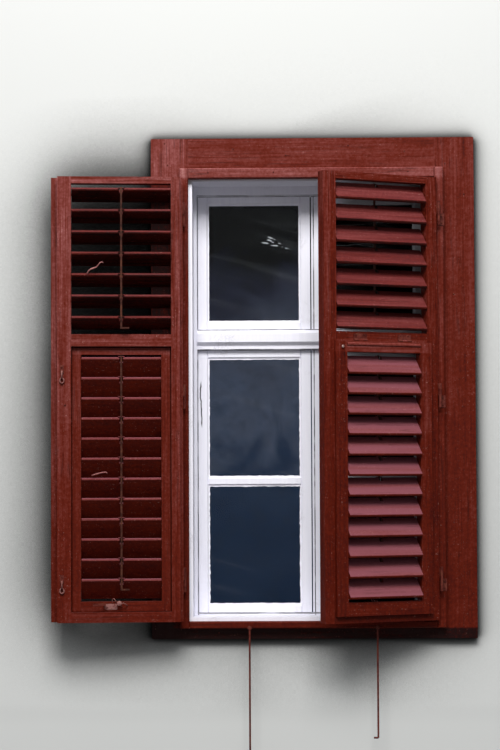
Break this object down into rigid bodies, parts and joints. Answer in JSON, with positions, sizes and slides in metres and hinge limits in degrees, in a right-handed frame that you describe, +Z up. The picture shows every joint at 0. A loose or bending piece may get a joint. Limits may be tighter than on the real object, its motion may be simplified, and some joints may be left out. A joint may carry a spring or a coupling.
{
  "type": "louvred shutters",
  "caption": "Timber window shutters with tilting louvres, top-hung lower flaps and iron stays, hung in a casing round a white window.",
  "frame": {"origin": "middle of the foot board's back, on the wall face", "axes": "+X to the right along the wall, +Y into the wall, +Z up"},
  "size_m": [1.3487, 0.3899, 1.972],
  "materials": {
    "casing_paint": "brushed red-brown oil paint, worn",
    "red_paint": "red-brown gloss paint, weathered",
    "painted_iron": "iron painted over in the same red-brown",
    "white_paint": "white gloss paint",
    "glass": "clear glass, dark behind"
  },
  "bodies": {
    "casing": {"casing": "casing_paint", "frame_ironwork": "painted_iron", "window_frame": "white_paint", "upper_panes": "glass"},
    "left_leaf": {"left_leaf_frame": "red_paint", "left_leaf_ironwork": "painted_iron"},
    "left_flap": {"left_flap_frame": "red_paint"},
    "left_upper_slat_01": {"left_upper_slat_01": "red_paint"},
    "left_upper_slat_02": {"left_upper_slat_02": "red_paint"},
    "left_upper_slat_03": {"left_upper_slat_03": "red_paint"},
    "left_upper_slat_04": {"left_upper_slat_04": "red_paint"},
    "left_upper_slat_05": {"left_upper_slat_05": "red_paint"},
    "left_upper_slat_06": {"left_upper_slat_06": "red_paint"},
    "left_upper_slat_07": {"left_upper_slat_07": "red_paint"},
    "left_upper_tilt_rod": {"left_upper_tilt_rod": "painted_iron"},
    "left_flap_slat_01": {"left_flap_slat_01": "red_paint"},
    "left_flap_slat_02": {"left_flap_slat_02": "red_paint"},
    "left_flap_slat_03": {"left_flap_slat_03": "red_paint"},
    "left_flap_slat_04": {"left_flap_slat_04": "red_paint"},
    "left_flap_slat_05": {"left_flap_slat_05": "red_paint"},
    "left_flap_slat_06": {"left_flap_slat_06": "red_paint"},
    "left_flap_slat_07": {"left_flap_slat_07": "red_paint"},
    "left_flap_slat_08": {"left_flap_slat_08": "red_paint"},
    "left_flap_slat_09": {"left_flap_slat_09": "red_paint"},
    "left_flap_slat_10": {"left_flap_slat_10": "red_paint"},
    "left_flap_slat_11": {"left_flap_slat_11": "red_paint"},
    "left_flap_slat_12": {"left_flap_slat_12": "red_paint"},
    "left_flap_tilt_rod": {"left_flap_tilt_rod": "painted_iron"},
    "left_flap_latch": {"left_flap_latch": "painted_iron"},
    "left_stay": {"left_stay": "painted_iron"},
    "left_sash": {"left_sash": "white_paint", "left_panes": "glass"},
    "right_leaf": {"right_leaf_frame": "red_paint", "right_leaf_ironwork": "painted_iron"},
    "right_flap": {"right_flap_frame": "red_paint"},
    "right_upper_slat_01": {"right_upper_slat_01": "red_paint"},
    "right_upper_slat_02": {"right_upper_slat_02": "red_paint"},
    "right_upper_slat_03": {"right_upper_slat_03": "red_paint"},
    "right_upper_slat_04": {"right_upper_slat_04": "red_paint"},
    "right_upper_slat_05": {"right_upper_slat_05": "red_paint"},
    "right_upper_slat_06": {"right_upper_slat_06": "red_paint"},
    "right_upper_slat_07": {"right_upper_slat_07": "red_paint"},
    "right_upper_tilt_rod": {"right_upper_tilt_rod": "painted_iron"},
    "right_flap_slat_01": {"right_flap_slat_01": "red_paint"},
    "right_flap_slat_02": {"right_flap_slat_02": "red_paint"},
    "right_flap_slat_03": {"right_flap_slat_03": "red_paint"},
    "right_flap_slat_04": {"right_flap_slat_04": "red_paint"},
    "right_flap_slat_05": {"right_flap_slat_05": "red_paint"},
    "right_flap_slat_06": {"right_flap_slat_06": "red_paint"},
    "right_flap_slat_07": {"right_flap_slat_07": "red_paint"},
    "right_flap_slat_08": {"right_flap_slat_08": "red_paint"},
    "right_flap_slat_09": {"right_flap_slat_09": "red_paint"},
    "right_flap_slat_10": {"right_flap_slat_10": "red_paint"},
    "right_flap_slat_11": {"right_flap_slat_11": "red_paint"},
    "right_flap_slat_12": {"right_flap_slat_12": "red_paint"},
    "right_flap_tilt_rod": {"right_flap_tilt_rod": "painted_iron"},
    "right_flap_latch": {"right_flap_latch": "painted_iron"},
    "right_stay": {"right_stay": "painted_iron"},
    "right_sash": {"right_sash": "white_paint", "right_panes": "glass"}
  },
  "joints": [
    {"name": "left_leaf_swing", "type": "hinge", "parent": "casing", "child": "left_leaf", "pos_m": [-0.406, -0.067, 0], "axis": [0, 0, -1], "range_deg": [-175, 5]},
    {"name": "left_flap_swing", "type": "hinge", "parent": "left_leaf", "child": "left_flap", "pos_m": [-0.44863, -0.07314, 0.923], "axis": [-0.9962, -0.0872, 0], "range_deg": [-2.5, 0]},
    {"name": "left_upper_slat_01_tilt", "type": "hinge", "parent": "left_leaf", "child": "left_upper_slat_01", "pos_m": [-0.44648, -0.09764, 1.392], "axis": [-0.9962, -0.0872, 0], "range_deg": [-25, 37]},
    {"name": "left_upper_slat_02_tilt", "type": "hinge", "parent": "left_leaf", "child": "left_upper_slat_02", "pos_m": [-0.44648, -0.09764, 1.32433], "axis": [-0.9962, -0.0872, 0], "range_deg": [-25, 37]},
    {"name": "left_upper_slat_03_tilt", "type": "hinge", "parent": "left_leaf", "child": "left_upper_slat_03", "pos_m": [-0.44648, -0.09764, 1.25667], "axis": [-0.9962, -0.0872, 0], "range_deg": [-25, 37]},
    {"name": "left_upper_slat_04_tilt", "type": "hinge", "parent": "left_leaf", "child": "left_upper_slat_04", "pos_m": [-0.44648, -0.09764, 1.189], "axis": [-0.9962, -0.0872, 0], "range_deg": [-25, 37]},
    {"name": "left_upper_slat_05_tilt", "type": "hinge", "parent": "left_leaf", "child": "left_upper_slat_05", "pos_m": [-0.44648, -0.09764, 1.12133], "axis": [-0.9962, -0.0872, 0], "range_deg": [-25, 37]},
    {"name": "left_upper_slat_06_tilt", "type": "hinge", "parent": "left_leaf", "child": "left_upper_slat_06", "pos_m": [-0.44648, -0.09764, 1.05367], "axis": [-0.9962, -0.0872, 0], "range_deg": [-25, 37]},
    {"name": "left_upper_slat_07_tilt", "type": "hinge", "parent": "left_leaf", "child": "left_upper_slat_07", "pos_m": [-0.44648, -0.09764, 0.986], "axis": [-0.9962, -0.0872, 0], "range_deg": [-25, 37]},
    {"name": "left_upper_tilt_rod_pivot", "type": "hinge", "parent": "left_upper_slat_01", "child": "left_upper_tilt_rod", "pos_m": [-0.44332, -0.13376, 1.40891], "axis": [-0.9962, -0.0872, 0], "range_deg": [-37, 25]},
    {"name": "left_flap_slat_01_tilt", "type": "hinge", "parent": "left_flap", "child": "left_flap_slat_01", "pos_m": [-0.47885, -0.08341, 0.845], "axis": [-0.9962, -0.0872, 0], "range_deg": [-57, 5]},
    {"name": "left_flap_slat_02_tilt", "type": "hinge", "parent": "left_flap", "child": "left_flap_slat_02", "pos_m": [-0.47885, -0.08341, 0.78155], "axis": [-0.9962, -0.0872, 0], "range_deg": [-57, 5]},
    {"name": "left_flap_slat_03_tilt", "type": "hinge", "parent": "left_flap", "child": "left_flap_slat_03", "pos_m": [-0.47885, -0.08341, 0.71809], "axis": [-0.9962, -0.0872, 0], "range_deg": [-57, 5]},
    {"name": "left_flap_slat_04_tilt", "type": "hinge", "parent": "left_flap", "child": "left_flap_slat_04", "pos_m": [-0.47885, -0.08341, 0.65464], "axis": [-0.9962, -0.0872, 0], "range_deg": [-57, 5]},
    {"name": "left_flap_slat_05_tilt", "type": "hinge", "parent": "left_flap", "child": "left_flap_slat_05", "pos_m": [-0.47885, -0.08341, 0.59118], "axis": [-0.9962, -0.0872, 0], "range_deg": [-57, 5]},
    {"name": "left_flap_slat_06_tilt", "type": "hinge", "parent": "left_flap", "child": "left_flap_slat_06", "pos_m": [-0.47885, -0.08341, 0.52773], "axis": [-0.9962, -0.0872, 0], "range_deg": [-57, 5]},
    {"name": "left_flap_slat_07_tilt", "type": "hinge", "parent": "left_flap", "child": "left_flap_slat_07", "pos_m": [-0.47885, -0.08341, 0.46427], "axis": [-0.9962, -0.0872, 0], "range_deg": [-57, 5]},
    {"name": "left_flap_slat_08_tilt", "type": "hinge", "parent": "left_flap", "child": "left_flap_slat_08", "pos_m": [-0.47885, -0.08341, 0.40082], "axis": [-0.9962, -0.0872, 0], "range_deg": [-57, 5]},
    {"name": "left_flap_slat_09_tilt", "type": "hinge", "parent": "left_flap", "child": "left_flap_slat_09", "pos_m": [-0.47885, -0.08341, 0.33736], "axis": [-0.9962, -0.0872, 0], "range_deg": [-57, 5]},
    {"name": "left_flap_slat_10_tilt", "type": "hinge", "parent": "left_flap", "child": "left_flap_slat_10", "pos_m": [-0.47885, -0.08341, 0.27391], "axis": [-0.9962, -0.0872, 0], "range_deg": [-57, 5]},
    {"name": "left_flap_slat_11_tilt", "type": "hinge", "parent": "left_flap", "child": "left_flap_slat_11", "pos_m": [-0.47885, -0.08341, 0.21046], "axis": [-0.9962, -0.0872, 0], "range_deg": [-57, 5]},
    {"name": "left_flap_slat_12_tilt", "type": "hinge", "parent": "left_flap", "child": "left_flap_slat_12", "pos_m": [-0.47885, -0.08341, 0.147], "axis": [-0.9962, -0.0872, 0], "range_deg": [-57, 5]},
    {"name": "left_flap_tilt_rod_pivot", "type": "hinge", "parent": "left_flap_slat_01", "child": "left_flap_tilt_rod", "pos_m": [-0.47695, -0.10511, 0.87855], "axis": [-0.9962, -0.0872, 0], "range_deg": [-5, 57]},
    {"name": "left_flap_latch_turn", "type": "hinge", "parent": "left_flap", "child": "left_flap_latch", "pos_m": [-0.65677, -0.11504, 0.1], "axis": [0.0872, -0.9962, 0], "range_deg": [-60, 62]},
    {"name": "left_stay_swing", "type": "hinge", "parent": "casing", "child": "left_stay", "pos_m": [-0.20179, -0.07754, 0.021], "axis": [-0.1736, 0.9848, 0], "range_deg": [0, 105]},
    {"name": "left_sash_swing", "type": "hinge", "parent": "casing", "child": "left_sash", "pos_m": [-0.3702, 0.1513, 0], "axis": [0, 0, 1], "range_deg": [0, 100]},
    {"name": "right_leaf_swing", "type": "hinge", "parent": "casing", "child": "right_leaf", "pos_m": [0.406, -0.067, 0], "axis": [0, 0, 1], "range_deg": [-25, 155]},
    {"name": "right_flap_swing", "type": "hinge", "parent": "right_leaf", "child": "right_flap", "pos_m": [0.36601, -0.083, 0.923], "axis": [0.9063, 0.4226, 0], "range_deg": [-40, 0]},
    {"name": "right_upper_slat_01_tilt", "type": "hinge", "parent": "right_leaf", "child": "right_upper_slat_01", "pos_m": [0.35562, -0.0607, 1.392], "axis": [0.9063, 0.4226, 0], "range_deg": [-48, 14]},
    {"name": "right_upper_slat_02_tilt", "type": "hinge", "parent": "right_leaf", "child": "right_upper_slat_02", "pos_m": [0.35562, -0.0607, 1.32433], "axis": [0.9063, 0.4226, 0], "range_deg": [-48, 14]},
    {"name": "right_upper_slat_03_tilt", "type": "hinge", "parent": "right_leaf", "child": "right_upper_slat_03", "pos_m": [0.35562, -0.0607, 1.25667], "axis": [0.9063, 0.4226, 0], "range_deg": [-48, 14]},
    {"name": "right_upper_slat_04_tilt", "type": "hinge", "parent": "right_leaf", "child": "right_upper_slat_04", "pos_m": [0.35562, -0.0607, 1.189], "axis": [0.9063, 0.4226, 0], "range_deg": [-48, 14]},
    {"name": "right_upper_slat_05_tilt", "type": "hinge", "parent": "right_leaf", "child": "right_upper_slat_05", "pos_m": [0.35562, -0.0607, 1.12133], "axis": [0.9063, 0.4226, 0], "range_deg": [-48, 14]},
    {"name": "right_upper_slat_06_tilt", "type": "hinge", "parent": "right_leaf", "child": "right_upper_slat_06", "pos_m": [0.35562, -0.0607, 1.05367], "axis": [0.9063, 0.4226, 0], "range_deg": [-48, 14]},
    {"name": "right_upper_slat_07_tilt", "type": "hinge", "parent": "right_leaf", "child": "right_upper_slat_07", "pos_m": [0.35562, -0.0607, 0.986], "axis": [0.9063, 0.4226, 0], "range_deg": [-48, 14]},
    {"name": "right_upper_tilt_rod_pivot", "type": "hinge", "parent": "right_upper_slat_01", "child": "right_upper_tilt_rod", "pos_m": [0.34431, -0.03644, 1.42173], "axis": [0.9063, 0.4226, 0], "range_deg": [-14, 48]},
    {"name": "right_flap_slat_01_tilt", "type": "hinge", "parent": "right_flap", "child": "right_flap_slat_01", "pos_m": [0.33471, -0.08921, 0.845], "axis": [0.9063, 0.4226, 0], "range_deg": [-50, 12]},
    {"name": "right_flap_slat_02_tilt", "type": "hinge", "parent": "right_flap", "child": "right_flap_slat_02", "pos_m": [0.33471, -0.08921, 0.78155], "axis": [0.9063, 0.4226, 0], "range_deg": [-50, 12]},
    {"name": "right_flap_slat_03_tilt", "type": "hinge", "parent": "right_flap", "child": "right_flap_slat_03", "pos_m": [0.33471, -0.08921, 0.71809], "axis": [0.9063, 0.4226, 0], "range_deg": [-50, 12]},
    {"name": "right_flap_slat_04_tilt", "type": "hinge", "parent": "right_flap", "child": "right_flap_slat_04", "pos_m": [0.33471, -0.08921, 0.65464], "axis": [0.9063, 0.4226, 0], "range_deg": [-50, 12]},
    {"name": "right_flap_slat_05_tilt", "type": "hinge", "parent": "right_flap", "child": "right_flap_slat_05", "pos_m": [0.33471, -0.08921, 0.59118], "axis": [0.9063, 0.4226, 0], "range_deg": [-50, 12]},
    {"name": "right_flap_slat_06_tilt", "type": "hinge", "parent": "right_flap", "child": "right_flap_slat_06", "pos_m": [0.33471, -0.08921, 0.52773], "axis": [0.9063, 0.4226, 0], "range_deg": [-50, 12]},
    {"name": "right_flap_slat_07_tilt", "type": "hinge", "parent": "right_flap", "child": "right_flap_slat_07", "pos_m": [0.33471, -0.08921, 0.46427], "axis": [0.9063, 0.4226, 0], "range_deg": [-50, 12]},
    {"name": "right_flap_slat_08_tilt", "type": "hinge", "parent": "right_flap", "child": "right_flap_slat_08", "pos_m": [0.33471, -0.08921, 0.40082], "axis": [0.9063, 0.4226, 0], "range_deg": [-50, 12]},
    {"name": "right_flap_slat_09_tilt", "type": "hinge", "parent": "right_flap", "child": "right_flap_slat_09", "pos_m": [0.33471, -0.08921, 0.33736], "axis": [0.9063, 0.4226, 0], "range_deg": [-50, 12]},
    {"name": "right_flap_slat_10_tilt", "type": "hinge", "parent": "right_flap", "child": "right_flap_slat_10", "pos_m": [0.33471, -0.08921, 0.27391], "axis": [0.9063, 0.4226, 0], "range_deg": [-50, 12]},
    {"name": "right_flap_slat_11_tilt", "type": "hinge", "parent": "right_flap", "child": "right_flap_slat_11", "pos_m": [0.33471, -0.08921, 0.21046], "axis": [0.9063, 0.4226, 0], "range_deg": [-50, 12]},
    {"name": "right_flap_slat_12_tilt", "type": "hinge", "parent": "right_flap", "child": "right_flap_slat_12", "pos_m": [0.33471, -0.08921, 0.147], "axis": [0.9063, 0.4226, 0], "range_deg": [-50, 12]},
    {"name": "right_flap_tilt_rod_pivot", "type": "hinge", "parent": "right_flap_slat_01", "child": "right_flap_tilt_rod", "pos_m": [0.32384, -0.06591, 0.87564], "axis": [0.9063, 0.4226, 0], "range_deg": [-12, 50]},
    {"name": "right_flap_latch_turn", "type": "hinge", "parent": "right_flap", "child": "right_flap_latch", "pos_m": [0.16028, -0.15289, 0.1], "axis": [0.4226, -0.9063, 0], "range_deg": [-60, 62]},
    {"name": "right_stay_swing", "type": "hinge", "parent": "casing", "child": "right_stay", "pos_m": [0.20179, -0.07754, 0.021], "axis": [-0.1736, -0.9848, 0], "range_deg": [0, 88]},
    {"name": "right_sash_swing", "type": "hinge", "parent": "casing", "child": "right_sash", "pos_m": [0.3702, 0.1513, 0], "axis": [0, 0, -1], "range_deg": [0, 100]}
  ],
  "couplings": [
    {"joint": "left_upper_slat_02_tilt", "follows": "left_upper_slat_01_tilt", "ratio": 1},
    {"joint": "left_upper_slat_03_tilt", "follows": "left_upper_slat_01_tilt", "ratio": 1},
    {"joint": "left_upper_slat_04_tilt", "follows": "left_upper_slat_01_tilt", "ratio": 1},
    {"joint": "left_upper_slat_05_tilt", "follows": "left_upper_slat_01_tilt", "ratio": 1},
    {"joint": "left_upper_slat_06_tilt", "follows": "left_upper_slat_01_tilt", "ratio": 1},
    {"joint": "left_upper_slat_07_tilt", "follows": "left_upper_slat_01_tilt", "ratio": 1},
    {"joint": "left_upper_tilt_rod_pivot", "follows": "left_upper_slat_01_tilt", "ratio": -1},
    {"joint": "left_flap_slat_02_tilt", "follows": "left_flap_slat_01_tilt", "ratio": 1},
    {"joint": "left_flap_slat_03_tilt", "follows": "left_flap_slat_01_tilt", "ratio": 1},
    {"joint": "left_flap_slat_04_tilt", "follows": "left_flap_slat_01_tilt", "ratio": 1},
    {"joint": "left_flap_slat_05_tilt", "follows": "left_flap_slat_01_tilt", "ratio": 1},
    {"joint": "left_flap_slat_06_tilt", "follows": "left_flap_slat_01_tilt", "ratio": 1},
    {"joint": "left_flap_slat_07_tilt", "follows": "left_flap_slat_01_tilt", "ratio": 1},
    {"joint": "left_flap_slat_08_tilt", "follows": "left_flap_slat_01_tilt", "ratio": 1},
    {"joint": "left_flap_slat_09_tilt", "follows": "left_flap_slat_01_tilt", "ratio": 1},
    {"joint": "left_flap_slat_10_tilt", "follows": "left_flap_slat_01_tilt", "ratio": 1},
    {"joint": "left_flap_slat_11_tilt", "follows": "left_flap_slat_01_tilt", "ratio": 1},
    {"joint": "left_flap_slat_12_tilt", "follows": "left_flap_slat_01_tilt", "ratio": 1},
    {"joint": "left_flap_tilt_rod_pivot", "follows": "left_flap_slat_01_tilt", "ratio": -1},
    {"joint": "right_upper_slat_02_tilt", "follows": "right_upper_slat_01_tilt", "ratio": 1},
    {"joint": "right_upper_slat_03_tilt", "follows": "right_upper_slat_01_tilt", "ratio": 1},
    {"joint": "right_upper_slat_04_tilt", "follows": "right_upper_slat_01_tilt", "ratio": 1},
    {"joint": "right_upper_slat_05_tilt", "follows": "right_upper_slat_01_tilt", "ratio": 1},
    {"joint": "right_upper_slat_06_tilt", "follows": "right_upper_slat_01_tilt", "ratio": 1},
    {"joint": "right_upper_slat_07_tilt", "follows": "right_upper_slat_01_tilt", "ratio": 1},
    {"joint": "right_upper_tilt_rod_pivot", "follows": "right_upper_slat_01_tilt", "ratio": -1},
    {"joint": "right_flap_slat_02_tilt", "follows": "right_flap_slat_01_tilt", "ratio": 1},
    {"joint": "right_flap_slat_03_tilt", "follows": "right_flap_slat_01_tilt", "ratio": 1},
    {"joint": "right_flap_slat_04_tilt", "follows": "right_flap_slat_01_tilt", "ratio": 1},
    {"joint": "right_flap_slat_05_tilt", "follows": "right_flap_slat_01_tilt", "ratio": 1},
    {"joint": "right_flap_slat_06_tilt", "follows": "right_flap_slat_01_tilt", "ratio": 1},
    {"joint": "right_flap_slat_07_tilt", "follows": "right_flap_slat_01_tilt", "ratio": 1},
    {"joint": "right_flap_slat_08_tilt", "follows": "right_flap_slat_01_tilt", "ratio": 1},
    {"joint": "right_flap_slat_09_tilt", "follows": "right_flap_slat_01_tilt", "ratio": 1},
    {"joint": "right_flap_slat_10_tilt", "follows": "right_flap_slat_01_tilt", "ratio": 1},
    {"joint": "right_flap_slat_11_tilt", "follows": "right_flap_slat_01_tilt", "ratio": 1},
    {"joint": "right_flap_slat_12_tilt", "follows": "right_flap_slat_01_tilt", "ratio": 1},
    {"joint": "right_flap_tilt_rod_pivot", "follows": "right_flap_slat_01_tilt", "ratio": -1}
  ]
}
